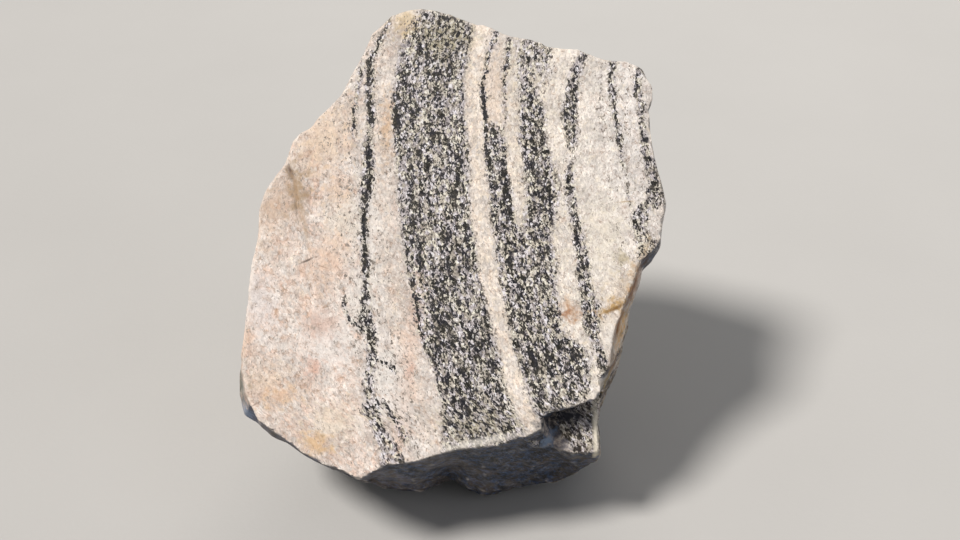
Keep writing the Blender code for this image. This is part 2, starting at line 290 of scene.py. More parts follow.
# Gneiss, freshly broken along its front: interlocked grains of cream and pink
# feldspar and grey quartz, with flakes of black biotite gathered into bands.
# The eye reads salt and pepper in the bands and soft pink mottling between.
# Each row of a band is (height on the face, left edge, right edge, share of dark grains), in mm.
darkBands = {
    "leftStreak": {"blur": 0.9, "rows": [
        (118, -39.8, -37.7, 0.21), (113, -41.3, -38.9, 0.4), (105, -44.9, -42.1, 0.43),
        (97, -48.3, -45.5, 0.43), (93, -50, -47.3, 0.69), (80, -49.9, -47.1, 0.69),
        (66, -49.3, -46.5, 0.69), (62, -49.7, -47.1, 0.36), (55, -50.7, -47.2, 0.65),
        (46, -51.2, -46.5, 0.65), (33, -52.3, -47.6, 0.65), (20, -51.7, -48.7, 0.69),
        (4, -50.8, -47.4, 0.69), (-6, -50.4, -47.5, 0.65), (-15, -50.9, -47.5, 0.69),
        (-24, -50.7, -44.9, 0.65), (-32, -47.8, -44.3, 0.69), (-40, -47.5, -44.2, 0.61),
        (-47, -49.5, -45.4, 0.61), (-56, -48.3, -43.1, 0.65), (-60, -49.8, -42.2, 0.61),
        (-65, -46.6, -41.9, 0.65), (-71, -44.2, -38.1, 0.61), (-77, -42, -33.5, 0.54),
        (-82, -42.3, -31.2, 0.51), (-95, -40.3, -27.7, 0.43)]},
    "upperBranch": {"blur": 0.4, "rows": [
        (96, -52.4, -51.4, 0.27), (93, -52.8, -51.6, 0.72), (83, -53.4, -52.4, 0.68),
        (73, -55.6, -54.4, 0.63), (63, -56.3, -55.1, 0.54), (58, -56.6, -55.5, 0.36),
        (52, -56.8, -55.6, 0)]},
    "middleBranch": {"blur": 0.8, "rows": [
        (-9, -58, -57, 0), (-13, -58.3, -57.2, 0.54), (-18, -58, -56.6, 0.63),
        (-22.5, -55.2, -53.4, 0.72), (-25, -51.5, -49.5, 0.72), (-27, -49, -47.5, 0.45),
        (-29, -48, -47, 0)]},
    "rightBranch": {"blur": 0.4, "rows": [
        (-37, -46, -44.5, 0), (-38.7, -44.2, -42.5, 0.72), (-40.4, -40.8, -38.2, 0.72),
        (-43.8, -36.9, -35.1, 0.63), (-46, -35.5, -34.3, 0)]},
    "lowerBranch": {"blur": 1.4, "rows": [
        (-54, -42.5, -41, 0), (-57, -41, -39.2, 0.59), (-62, -38.2, -36, 0.64),
        (-68, -34.8, -32.4, 0.64), (-72, -32.6, -30.4, 0.51), (-77, -31, -29, 0)]},
    "wideBand": {"blur": 1.0, "rows": [
        (126, -24, -9, 0.4), (116, -27.6, -8, 0.42), (112.6, -30.4, -4.6, 0.46),
        (104, -33.9, -4.4, 0.5), (94, -35.5, -5.7, 0.52), (85, -36.8, -7.1, 0.5),
        (71, -38.4, -7, 0.52), (62, -37.8, -5.7, 0.54), (53, -35.9, -5.2, 0.53),
        (40, -35.3, -4.8, 0.53), (22, -34.3, -3.9, 0.52), (13, -32.5, -2.2, 0.52),
        (-4, -30.2, -0.4, 0.54), (-17, -27.5, 2.6, 0.58), (-30, -25.2, 5.5, 0.63),
        (-39, -21.3, 8.1, 0.63), (-47, -17.9, 9.7, 0.62), (-56, -16.1, 12.3, 0.58),
        (-68, -15.7, 18.9, 0.46), (-77, -14, 23, 0.4), (-95, -8, 32, 0.45)]},
    "wideBandBorder": {"blur": 1.0, "rows": [
        (104, -34, -31.5, 0.18), (99, -35.4, -32, 0.68), (85, -37, -34.5, 0.63),
        (75, -38.4, -35.4, 0.68), (66, -38.4, -34, 0.8), (57, -37, -33.4, 0.76),
        (48, -36, -33.5, 0.63), (30, -35, -32.8, 0.59), (8, -32, -29.8, 0.59),
        (-12, -29, -26.2, 0.59), (-30, -25.4, -22.4, 0.63), (-45, -19, -15, 0.59),
        (-60, -16, -13, 0.36)]},
    "hairStreak": {"blur": 0.35, "rows": [
        (112, 7.4, 9, 0.79), (107, 6.2, 8.2, 0.88), (100, 4.4, 6.4, 0.88), (96, 2.6, 4.5, 0.66),
        (91, 2.1, 3.9, 0.62), (85, 0.4, 2.2, 0.66), (80, 0.2, 2.4, 0.88), (73, 1, 2.6, 0.84),
        (63, 1.8, 3.5, 0.88), (55, 2.2, 3.9, 0.84), (45, 2.9, 4.9, 0.79), (36, 4.2, 5.8, 0.53),
        (28, 5, 6.4, 0)]},
    "innerBand": {"blur": 1.2, "rows": [
        (68, 4.5, 9.5, 0), (62, 4.2, 10.2, 0.5), (55, 4.4, 11.2, 0.55), (44, 3.4, 11.8, 0.56),
        (35, 4.3, 13.5, 0.58), (26, 4.9, 14.7, 0.58), (17, 6.1, 17.6, 0.56), (13, 7.3, 24, 0.54),
        (8.7, 7.1, 31.5, 0.54), (0, 8.3, 32.7, 0.54), (-9, 9.9, 33, 0.54),
        (-17, 11.5, 34.2, 0.54), (-26, 12.9, 35, 0.59), (-30, 13.8, 38, 0.63),
        (-34, 14.6, 45, 0.63), (-43, 17.5, 46.7, 0.61), (-51, 20, 46.6, 0.5),
        (-58, 22.4, 44.6, 0.5), (-70, 28, 48, 0.5), (-95, 40, 58, 0.5)]},
    "outerBand": {"blur": 1.4, "rows": [
        (92, 17, 21, 0), (86, 17, 22.5, 0.42), (76, 17.6, 26.6, 0.52), (67, 18, 28.4, 0.56),
        (58, 18, 28.6, 0.59), (49, 19.2, 31.2, 0.6), (40, 20, 33.8, 0.6), (31, 20.4, 33.9, 0.6),
        (22, 19.5, 31.8, 0.55), (13, 17.4, 31.5, 0.54), (4, 17, 31, 0.5), (-8, 17, 31, 0)]},
    "paleSpeckle": {"blur": 2.5, "rows": [
        (120, 13, 33, 0.42), (103, 14.6, 33, 0.36), (94, 14.6, 33.2, 0.39), (86, 15.4, 32, 0.3),
        (74, 20, 30, 0)]},
    "faintStreak": {"blur": 0.8, "rows": [
        (108, 12, 15, 0.2), (101, 11.8, 14.8, 0.42), (94, 11, 13.8, 0.4), (87, 9.6, 12.6, 0.4),
        (78, 9.2, 12, 0.36), (69, 10, 12.8, 0.34), (60, 11, 13, 0)]},
    "narrowBand": {"blur": 1.0, "rows": [
        (100, 46, 48, 0.28), (96, 44.5, 47, 0.6), (93, 41.6, 45.6, 0.58), (85, 38.9, 43.6, 0.56),
        (78, 37.9, 43, 0.56), (69, 36.4, 42.4, 0.55), (62, 37.2, 42.4, 0.5), (55, 37.6, 42, 0.36),
        (50, 38, 41.6, 0.2), (46, 38.2, 41.4, 0.42), (40, 37.3, 41.2, 0.62), (31, 38.3, 42, 0.6),
        (22, 39.3, 43.6, 0.57), (13, 40.7, 45.4, 0.57), (0, 42, 47.2, 0.58), (-9, 43, 48.4, 0.58),
        (-15, 43.8, 50.6, 0.6), (-22, 44.3, 51.6, 0.6), (-27, 45.5, 50.4, 0.58),
        (-32, 48, 52, 0.58), (-37, 49.4, 53.6, 0.58), (-42, 50.5, 55, 0.58), (-52, 52, 57, 0.5),
        (-90, 66, 72, 0.5)]},
    "faintColumn": {"blur": 1.6, "rows": [
        (98, 52, 55, 0), (92, 51.5, 55, 0.16), (76, 51, 54.6, 0.2), (62, 52, 55, 0.18),
        (50, 54, 57, 0.1), (40, 55.4, 57.6, 0)]},
    "greyStreak": {"blur": 0.8, "rows": [
        (100, 57, 60, 0.2), (93, 56.5, 60.6, 0.46), (87, 56.4, 59.8, 0.56),
        (80, 56.3, 59.3, 0.58), (75, 57.1, 59.8, 0.36), (70, 58, 60.6, 0.54),
        (64, 58.9, 61.6, 0.5), (58, 59.8, 62.2, 0.56), (49, 61.2, 63.2, 0.4), (42, 62, 64, 0.26),
        (30, 64, 66, 0.34), (22, 65, 67, 0)]},
    "edgeStreak": {"blur": 0.7, "rows": [
        (94, 70.2, 71.8, 0.1), (89, 69.4, 72, 0.5), (86, 68.3, 71.2, 0.68), (80, 68.1, 71, 0.7),
        (77, 69, 71.4, 0.74), (74, 69.8, 72.2, 0.84), (69, 70, 72.3, 0.88), (64, 70.2, 72.4, 0.8),
        (58, 70.6, 73, 0.72), (53, 71.1, 73.6, 0.72), (48, 72.1, 76.4, 0.62),
        (42, 72.5, 77.6, 0.6), (37, 73, 79, 0.52), (32, 72.4, 79.5, 0.48), (28, 68.4, 78, 0.44),
        (25, 66.6, 73, 0.58), (20, 66, 72, 0.6), (15, 66.2, 75, 0.5), (10, 68, 78, 0.56),
        (3, 69, 77, 0.54), (-2, 70.5, 75.5, 0.4), (-6, 71, 75, 0)]},
    # these three never reach the front face: they cross the sides and the back
    "sideBand": {"blur": 0.8, "rows": [
        (110, 86, 92, 0.6), (40, 85, 93, 0.6), (-10, 88, 98, 0.6), (-90, 104, 116, 0.6)]},
    "farLeftBand": {"blur": 0.9, "rows": [
        (110, -118, -112, 0.6), (30, -133, -123, 0.6), (-40, -142, -132, 0.6),
        (-90, -144, -133, 0.55)]},
    "backBand": {"blur": 0.9, "rows": [
        (110, -148, -138, 0.5), (30, -156, -142, 0.55), (-90, -152, -136, 0.5)]},
}

# Soft stains, veins and cracks, and some painted shade and painted light: middle (across, up, into)
# and half sizes in mm, turn in degrees, colour, strength.
marks = {
    "tanUpper": ((-68, 58, 0), (13, 20, 8), -25, "#e8ceb3", 0.65),
    "creamUpper": ((-60, 22, 0), (9, 15, 8), 0, "#efe3d3", 0.6),
    "paleLeft": ((-96, -14, 0), (12, 19, 8), 10, "#e9e0dd", 0.7),
    "paleMiddle": ((-66, -32, 0), (16, 14, 8), 0, "#f3ece7", 0.7),
    "tanLow": ((-90, -48, 0), (11, 8, 8), 15, "#dfc1a3", 0.45),
    "creamLow": ((-62, -66, 0), (12, 9, 8), 20, "#eddcc6", 0.6),
    "rustSpot": ((38.5, -18, 0), (4.5, 5, 8), 20, "#bd9470", 0.75),
    "rustSpotCore": ((38, -18.8, 0), (2.2, 2.4, 8), 0, "#a06a48", 0.6),
    "ochreCorner": ((62, -12, 0), (11, 17, 8), -20, "#cfae82", 0.35),
    "ochreRing": ((61, 4.5, 0), (3.2, 4.2, 8), 0, "#8f7d50", 0.8),
    "ochrePatch": ((57, -15.5, 0), (8, 3.2, 8), 22, "#bf9650", 0.8),
    "crackOchre": ((58, -16.6, 0), (6.5, 1.1, 8), 24, "#86622f", 0.95),
    "ochreEdge": ((70, 2, 0), (5, 14, 8), -25, "#c4a472", 0.4),
    "ochreStreak": ((-41, 64, 0), (2.5, 17, 8), 2, "#d8ae80", 0.55),
    "ochreTop": ((-33, 112, 0), (7, 8, 8), -20, "#d9bd8a", 0.6),
    "pinkPatch": ((6.5, 80, 0), (5, 20, 8), 0, "#e8cbb2", 0.4),
    "pinkVein": ((-31, -42, 0), (5, 40, 8), -7, "#e2b69b", 0.38),
    "pinkVeinSpot": ((-30, -43, 0), (3.2, 5.5, 8), 0, "#d79f85", 0.5),
    "pinkSpotLow": ((-70.5, -42, 0), (4.5, 4.5, 8), 0, "#dba48a", 0.6),
    "pinkSpotMid": ((-68, -24, 0), (9, 7, 8), 30, "#cfa28c", 0.5),
    "pinkSpotFar": ((-101, -29, 0), (6, 9, 8), 0, "#dfb596", 0.5),
    "warmUpper": ((-62, 36, 0), (6, 9, 8), 0, "#e4c0a2", 0.5),
    "warmMiddle": ((-65, 5, 0), (9, 13, 8), -10, "#e3bfa4", 0.5),
    "ochreLowLeft": ((-69, -74, 0), (7, 6, 8), 0, "#d7ab72", 0.6),
    "ochreFarLeft": ((-84, -54, 0), (9, 5, 8), 10, "#dfb48b", 0.45),
    "whiteQuartz": ((-38, -48, 0), (9, 18, 8), 10, "#f6f0ea", 0.6),
    "whiteHaloUpper": ((-46, 20, 0), (8, 22, 8), 0, "#e9e3dd", 0.4),
    "whiteHaloLower": ((-52, -16, 0), (9, 17, 8), 0, "#ece6df", 0.5),
    "whiteChunk": ((56, -29, 0), (4, 8, 8), -12, "#ebe3da", 0.75),
    "creamRight": ((55, 15, 0), (12, 22, 8), 0, "#ebe1cf", 0.5),
    # on the left facet: brown stain along the scarp with painted shade of its step, and the facet
    # greyed and darkened as painted shade
    "scarpStainAndShade": ((-80, 36, 0), (5, 13, 8), 8, "#9c8262", 0.85),
    "scarpStainAndShadow": ((-83, 44.2, 0), (1.5, 3.2, 8), 25, "#5b422e", 0.9),
    "leftFacetGreyAndShade": ((-90, 28, 0), (11, 18, 8), -20, "#c9ae96", 0.6),
    "oliveTop": ((-14, 104, 0), (13, 12, 8), 0, "#9a9068", 0.5),
    "oliveBottom": ((0, -66, 0), (16, 9, 8), 0, "#948a68", 0.4),
    # painted shade along the ridge step, drawn as a thin line
    "ridgePaintedShade": ((-77.5, 26, 0), (1.7, 18, 8), 14, "#9f8365", 0.6),
    "crackLeft": ((-74.5, 4.4, 0), (3.8, 0.6, 8), 22, "#3f2f25", 0.95),
    "crackLeftTail": ((-68, 1.5, 0), (3.2, 0.3, 8), -20, "#9a7a63", 0.6),
    "crackLow": ((-96, -58, 0), (4.2, 0.35, 8), 28, "#7d5f52", 0.7),
    "crackRight": ((63, 30, 0), (5, 0.4, 8), 4, "#b08f5c", 0.6),
    # on the narrow left side, on the ledge below the face, and down the right side, much of it
    # painted shade and painted light
    # grey-green film on the left side, darkened as painted shade
    "leftSideFilmAndShade": ((-104, -46, 14), (9, 20, 13), 0, "#656a62", 0.9),
    # painted shade on the ledge's left wall, which faces away from the key
    "ledgeWallPaintedShade": ((29, -69, 12), (9, 17, 16), 0, "#3c3e4c", 1.0),
    "ledgeFloor": ((35, -75, 16), (6.5, 6, 7), 0, "#66646d", 0.8),
    # iron stain down the right side, painted lighter as painted light on this shaded side
    "rightSideUpperStainAndLight": ((69, -4, 9), (6, 11, 9), -20, "#bd8f6c", 0.95),
    "rightSideMiddleStainAndLight": ((64, -24, 10), (6, 15, 10), -20, "#e0b478", 0.95),
}

# Cracks, rims and corners along the right side and below the face, laid over everything else, among
# them painted shadows, painted highlights and a painted blue reflection.
rimMarks = {
    "rimCrack": ((66.8, -6.5, 4), (1.9, 12, 6), -22, "#7d5232", 0.9),
    "rimCrackLower": ((59.6, -24, 4), (1.9, 10, 6), -19, "#8a5c30", 0.95),
    "rimCrackLowest": ((55.9, -38, 4), (1.9, 6, 6), -8, "#6f5236", 0.85),
    # painted shadow below the knob
    "knobFootPaintedShadow": ((72.5, 4.5, 9), (4, 4, 6), 0, "#4d352a", 0.8),
    "rightSideLower": ((58.5, -40, 14), (5, 6, 8), -20, "#8d6c50", 0.75),
    "rightSideKnob": ((56, -47, 17), (5, 5, 8), 0, "#a18b5c", 0.85),
    # painted shadow of the face's overhang across the upper left of the ledge
    "ledgePaintedShadow": ((35, -61, 15), (15, 8.5, 10), 8, "#1b1c26", 0.97),
    # painted highlights along the face's lower rim and the ledge's right rim
    "faceFootRimHighlight": ((-1, -73.4, 0), (28, 1.8, 5), 11, "#efe8e0", 0.55),
    "ledgeRimHighlight": ((50.2, -68, 18), (1.5, 15, 8), 0, "#fdf3de", 1.0),
    "ledgeRimFootHighlight": ((50.8, -80, 24), (1.5, 5, 6), 0, "#d6cdb8", 0.9),
    # the cream layer tinted blue-grey as painted shade at the ledge's corner
    "ledgeCornerBlueShade": ((29.5, -72, 13), (2.6, 8, 5), -28, "#7d90aa", 0.75),
    # painted blue reflection at the foot of the left side
    "leftSideFootBlueReflection": ((-101.5, -60.5, 15), (6, 6, 9), 0, "#8090aa", 0.75),
}

gneissLook = {
    # sizes in mm: across the layers, along them, into the stone
    "grainSize": (0.95, 1.45, 1.1),
    "flakeSize": (0.48, 0.78, 0.58),  # the finer flakes and cleavage pieces in the grains
    "crystalSize": (1.7, 2.1, 1.9),   # larger feldspar and quartz crystals between the bands
    "raggedSize": 1.25,               # of the noise that makes the outlines ragged
    "grainRagged": 0.45,              # mm that it moves them
    "grainTone": (0.76, 1.13),        # darkest and lightest single grain

    # bands: how far in mm their edges wander, over which size, and what fills them
    "edgeWaver": 0.8,
    "waverSize": (3.2, 9, 7),
    "bandFrom": (0.12, 0.4),          # share of dark grains at which a place counts as band
    # size in mm, least and most by which streaks and clots change the share of dark grains
    "gathered": (((1.7, 28, 15), 0.45, 1.45), ((3, 5, 4), 0.6, 1.35), ((5, 45, 20), 0.6, 1.4)),
    "halfDark": 0.08,                 # how softly dark grains pass into light ones
    "darkGrains": [(0, "#0b0a0b"), (0.45, "#191616"), (0.75, "#35302d"), (1, "#675e56")],
    "darkOlive": "#2b291b",
    "darkBlue": "#1a1d2e",
    "darkTint": 0.35,                 # share of olive or blue in the dark grains
    "bandGrains": [(0, "#7f7875"), (0.35, "#b0a9a6"), (0.62, "#e0dad6"), (1, "#ffffff")],
    "olive": "#fbf8e9",
    "lilac": "#f4f2fa",
    "bandGrey": 0.85,                 # share of the band's own greys in its light grains
    # share of scattered dark flakes outside the bands, by distance from the cream layer (mm)
    "flakes": [
        (-110, 0.04), (-66, 0.05), (-58, 0.12), (-49, 0.15), (-42, 0.14), (-33, 0.08), (-2, 0.1),
        (0.8, 0.004), (8, 0.004), (10, 0.06), (20, 0.06), (40, 0.035), (52, 0.03), (64, 0.09),
        (80, 0.12), (110, 0.1)],
    "looseFlake": "#857b72",

    # colours of the light grains from left to right, by the same distance
    "layerColors": [
        (-110, "#e6d3c6"), (-85, "#eddcd1"), (-60, "#f0e1d8"), (-47, "#efe8e2"), (-38, "#eadbce"),
        (-29, "#d3ccc8"), (-2, "#d3ccc8"), (1.5, "#faecdd"), (9, "#faedde"), (12, "#e6ddd4"),
        (20, "#efe4d5"), (36, "#f6ede0"), (60, "#f9f3ec"), (72, "#eeeae7"), (110, "#dfd0c1")],
    # clouds, patches and single crystals tint them: the levels of the pattern over which
    # a tint comes in, its strength, its colour, and whether it is mostly on the left side
    "cloudSize": 8,
    "patchSize": 3.4,
    "tints": [
        ("clouds", 0.5, 0.64, 0.85, "#e6c9b8", True),
        ("clouds", 0.48, 0.35, 0.85, "#f2eae3", False),
        ("patches", 0.53, 0.7, 0.65, "#c6a283", True),
        ("patches", 0.48, 0.32, 0.55, "#eedcc0", False),
        ("pinkCrystals", 0.45, 1.0, 0.45, "#e6c9b8", True),
        ("whiteCrystals", 0.5, 1.0, 0.75, "#f2eae3", False),
        ("quartzCrystals", 0.5, 1.0, 0.6, "#ccc3bd", False)],
    "leftSide": (-28, -60),           # mm from the cream layer
    "leastOnRight": 0.25,
    "shadeSize": 13,
    "shadeTone": (0.88, 1.1),         # darkest and lightest area of a few centimetres
    "seam": "#9c7d66",
    "seamStrength": 0.65,
    "seamEdge": (0.12, 0.02),         # in crystals, from the edge of one
    "seamBreaks": (0.47, 0.66),       # levels of the patches between which seams begin
    "blotSize": 4,
    "blotReach": 9,                   # mm that blots move the outlines of the broad stains

    # weathered skin on the old sides, and painted shade on the downward sides
    "weathered": "#a88a66",
    "weatheredDark": "#6f6552",
    "skinSize": 17,
    "grimeSize": 6,
    "skinDepth": (12, 30),            # mm behind the face over which the skin begins
    "skinCover": (0.1, 0.62),
    # painted shade on the downward sides, with bluish pale grains as a painted blue reflection
    "paintedUnderShade": "#0b0e15",
    "paintedUnderShadeBlue": "#3a5275",
    "paintedUnderShadeFrom": (0, -0.7, -1),        # the way that side looks
    "paintedUnderShadeTurn": (0.22, 0.7),          # how squarely, where the painted shade begins and where it is full
    "paintedUnderShadeCover": (0.82, 0.95),

    # edges and hollows: where they begin and are full, in mm out of or into the surface
    # pale bruised edges, which also give a painted highlight along the rims, and painted shade in
    # the hollows
    "paleEdgeAndRimHighlight": "#f5e9dc",
    "bruiseAndHighlightEdge": (0.2, 0.75),
    "bruiseAndHighlightStrength": 0.6,
    "hollowShade": "#54483e",
    "hollowShadeDepth": (-0.15, -0.6),
    "hollowShadeStrength": 0.6,

    "feldsparRoughness": 0.68,
    "biotiteRoughness": 0.5,
    "glint": (-0.08, 0.1),            # change of roughness from grain to grain
    "skinRoughness": 0.25,            # added where the skin is weathered
    "ior": 1.54,
    "specular": 0.3,
    "grainTilt": 0.4,
    "fineScale": 2.2,                 # per mm: roughness inside a grain, about half a mm
    "reliefStrength": 0.6,
    "reliefHeight": 0.45 * mm,
    "plainColor": "#c9b7a6",          # for a viewport without the pattern
}

# How stains and cracks end: thin ones keep their line, broad ones get a blotted outline.
markEdges = {
    "thinBelow": 2,                   # half size in mm
    "thinBreaks": 1,                  # how far noise breaks the outline of a thin one
    "broadBreaks": 3.5,
    "fade": (1.2, 0.2),               # from nothing to full strength, in half sizes
}


def darkShare(tree, across, height, bands):
    # share of dark grains at a place on the face, from the band that holds the most of them
    heights = addNode(tree, "CombineXYZ", {0: height, 1: height, 2: height})
    share = None
    for name, band in bands.items():
        middles = [(up, (left + right) / 2) for up, left, right, dark in band["rows"]]
        halves = [(up, (right - left) / 2) for up, left, right, dark in band["rows"]]
        darks = [(up, dark) for up, left, right, dark in band["rows"]]
        shape = addNode(tree, "VectorCurve", {"Vector": heights}, curves=(middles, halves, darks),
                        label=name)
        shape = addNode(tree, "SeparateXYZ", {0: shape})
        offset = addNode(tree, "Math", {0: across, 1: shape.outputs[0]}, operation="SUBTRACT")
        offset = addNode(tree, "Math", {0: offset}, operation="ABSOLUTE")
        inside = addNode(tree, "Math", {0: shape.outputs[1], 1: offset}, operation="SUBTRACT")
        # a few grains stray up to 5 mm out of the band
        halo = [(-5, 0), (-2.2, 0.1), (-band["blur"], 0.28), (band["blur"], 1)]
        inside = addNode(tree, "FloatCurve", {"Value": inside}, curves=(halo,))
        here = addNode(tree, "Math", {0: inside, 1: shape.outputs[2]}, operation="MULTIPLY")
        if share is None:
            share = here
        else:
            share = addNode(tree, "Math", {0: share, 1: here}, operation="MAXIMUM")
    return share


def layMarks(tree, color, spots, crisp, blotted, breakUp):
    fadeStart, fadeEnd = markEdges["fade"]
    for name, (middle, half, turn, spotColor, strength) in spots.items():
        thin = min(half) < markEdges["thinBelow"]
        breaks = markEdges["thinBreaks"] if thin else markEdges["broadBreaks"]
        spot = addNode(tree, "Mapping", {"Vector": crisp if thin else blotted, "Location": middle,
                                         "Rotation": (0, 0, math.radians(turn)), "Scale": half},
                       vector_type="TEXTURE", label=name)
        reach = addNode(tree, "VectorMath", {0: spot}, operation="LENGTH")
        broken = addNode(tree, "Math", {0: breakUp, 1: breaks, 2: reach},
                         operation="MULTIPLY_ADD")
        fade = addNode(tree, "MapRange", {0: broken, 1: fadeStart, 2: fadeEnd, 3: 0, 4: strength})
        color = addNode(tree, "Mix", {0: fade, 6: color, 7: spotColor}, data_type="RGBA")
    return color


def gneissMaterial(look):
    material = bpy.data.materials.new("bandedGneiss")
    material.use_nodes = True
    tree = material.node_tree
    tree.nodes.clear()

    # place on the stone, in millimetres from the middle of the front face
    place = addNode(tree, "TexCoord").outputs["Object"]
    place = addNode(tree, "VectorMath", {0: place, 1: face["middle"]}, operation="SUBTRACT")
    dips = face["across"] - face["bandDip"] * face["into"]
    rulers = {"across": face["across"], "up": face["up"], "into": face["into"], "dipped": dips}
    at = {}
    for name, direction in rulers.items():
        at[name] = addNode(tree, "VectorMath", {0: place, 1: direction / mm},
                           operation="DOT_PRODUCT")
    bend = addNode(tree, "FloatCurve", {"Value": at["up"]}, curves=(face["bend"],))
    layer = addNode(tree, "Math", {0: at["dipped"], 1: bend}, operation="SUBTRACT")
    layered = addNode(tree, "CombineXYZ", {0: layer, 1: at["up"], 2: at["into"]})
    onFace = addNode(tree, "CombineXYZ", {0: at["across"], 1: at["up"], 2: at["into"]})

    # grains: cells a little longer along the layers, with ragged outlines
    grey = (0.5, 0.5, 0.5)
    ragged = addNode(tree, "TexNoise", {"Vector": layered, "Scale": 1 / look["raggedSize"],
                                        "Detail": 1})
    ragged = addNode(tree, "VectorMath", {0: ragged.outputs["Color"], 1: grey},
                     operation="SUBTRACT")
    moved = addNode(tree, "VectorMath", {0: ragged, 1: (2 * look["grainRagged"],) * 3, 2: layered},
                    operation="MULTIPLY_ADD")
    cells = {}
    draws = {}  # three random numbers for each cell
    for name in ("grain", "flake", "crystal"):
        scaled = addNode(tree, "VectorMath", {0: moved, 1: look[name + "Size"]},
                         operation="DIVIDE")
        cells[name] = addNode(tree, "TexVoronoi", {"Vector": scaled, "Scale": 1, "Randomness": 1},
                              label=name)
        draws[name] = addNode(tree, "SeparateColor", {0: cells[name].outputs["Color"]})
    centre = cells["grain"].outputs["Position"]
    centre = addNode(tree, "VectorMath", {0: centre, 1: look["grainSize"]}, operation="MULTIPLY")
    centreAt = addNode(tree, "SeparateXYZ", {0: centre})
    kind = addNode(tree, "Mix", {0: 0.5, 2: draws["grain"].outputs[0],
                                 3: draws["flake"].outputs[0]})
    kind = addNode(tree, "MapRange", {0: kind}, interpolation_type="SMOOTHSTEP")
    tone = addNode(tree, "Mix", {0: 0.5, 2: draws["grain"].outputs[1],
                                 3: draws["flake"].outputs[1]})

    # each grain asks at its own middle which band it lies in
    centreBend = addNode(tree, "FloatCurve", {"Value": centreAt.outputs[1]}, curves=(face["bend"],))
    perMm = tuple(1 / size for size in look["waverSize"])
    waver = addNode(tree, "VectorMath", {0: centre, 1: perMm}, operation="MULTIPLY")
    waver = addNode(tree, "TexNoise", {"Vector": waver, "Scale": 1, "Detail": 2})
    waver = addNode(tree, "MapRange", {0: waver, 1: 0.25, 2: 0.75, 3: -look["edgeWaver"],
                                       4: look["edgeWaver"]})
    centreAcross = addNode(tree, "Math", {0: centreAt.outputs[0], 1: centreBend}, operation="ADD")
    centreAcross = addNode(tree, "Math", {0: centreAcross, 1: waver}, operation="ADD")
    share = darkShare(tree, centreAcross, centreAt.outputs[1], darkBands)

    # thin streaks of more and of fewer flakes run along the layers, and flakes gather in clots
    flakes = addNode(tree, "FloatCurve", {"Value": layer}, curves=(look["flakes"],))
    share = addNode(tree, "Math", {0: share, 1: flakes}, operation="MAXIMUM")
    low, high = look["bandFrom"]
    inBand = addNode(tree, "MapRange", {0: share, 1: low, 2: high})
    for size, least, most in look["gathered"]:
        streaks = addNode(tree, "VectorMath", {0: centre, 1: size}, operation="DIVIDE")
        streaks = addNode(tree, "TexNoise", {"Vector": streaks, "Scale": 1, "Detail": 3})
        streaks = addNode(tree, "MapRange", {0: streaks, 1: 0.3, 2: 0.7, 3: least, 4: most})
        share = addNode(tree, "Math", {0: share, 1: streaks}, operation="MULTIPLY")
    isDark = addNode(tree, "Math", {0: share, 1: kind}, operation="SUBTRACT")
    isDark = addNode(tree, "MapRange", {0: isDark, 1: -look["halfDark"], 2: look["halfDark"]})

    # feldspar: its colour follows the layers, with cloudy patches and single coloured crystals
    left, right = look["layerColors"][0][0], look["layerColors"][-1][0]
    spread = addNode(tree, "MapRange", {0: layer, 1: left, 2: right})
    stops = [((distance - left) / (right - left), color) for distance, color in look["layerColors"]]
    light = addNode(tree, "ValToRGB", {0: spread}, stops=stops)
    near, far = look["leftSide"]
    leftSide = addNode(tree, "MapRange", {0: layer, 1: near, 2: far, 3: look["leastOnRight"], 4: 1})
    clouds = addNode(tree, "TexNoise", {"Vector": layered, "Scale": 1 / look["cloudSize"],
                                        "Detail": 3, "Roughness": 0.6})
    patches = addNode(tree, "TexNoise", {"Vector": layered, "Scale": 1 / look["patchSize"],
                                         "Detail": 4, "Roughness": 0.65})
    crystal = draws["crystal"]
    patterns = {"clouds": clouds, "patches": patches, "pinkCrystals": crystal.outputs[0],
                "whiteCrystals": crystal.outputs[1], "quartzCrystals": crystal.outputs[2]}
    for pattern, low, high, most, color, onLeft in look["tints"]:
        here = addNode(tree, "MapRange", {0: patterns[pattern], 1: low, 2: high, 3: 0, 4: most})
        if onLeft:
            here = addNode(tree, "Math", {0: here, 1: leftSide}, operation="MULTIPLY")
        light = addNode(tree, "Mix", {0: here, 6: light, 7: color}, data_type="RGBA")
    low, high = look["shadeTone"]
    shade = addNode(tree, "TexNoise", {"Vector": layered, "Scale": 1 / look["shadeSize"],
                                       "Detail": 2})
    shade = addNode(tree, "MapRange", {0: shade, 1: 0.35, 2: 0.65, 3: low, 4: high})
    low, high = look["grainTone"]
    grainTone = addNode(tree, "MapRange", {0: tone, 1: 0.1, 2: 0.9, 3: low, 4: high})
    grainTone = addNode(tree, "Math", {0: grainTone, 1: shade}, operation="MULTIPLY")
    light = addNode(tree, "Mix", {0: 1, 6: light, 7: grainTone}, data_type="RGBA",
                    blend_type="MULTIPLY")

    # brown seams run broken between some crystals
    seam = addNode(tree, "VectorMath", {0: moved, 1: look["crystalSize"]}, operation="DIVIDE")
    seam = addNode(tree, "TexVoronoi", {"Vector": seam, "Scale": 1}, feature="DISTANCE_TO_EDGE")
    outer, inner = look["seamEdge"]
    seam = addNode(tree, "MapRange", {0: seam, 1: outer, 2: inner, 3: 0, 4: look["seamStrength"]})
    low, high = look["seamBreaks"]
    seamed = addNode(tree, "MapRange", {0: patches, 1: low, 2: high})
    seam = addNode(tree, "Math", {0: seam, 1: seamed}, operation="MULTIPLY")
    light = addNode(tree, "Mix", {0: seam, 6: light, 7: look["seam"]}, data_type="RGBA")

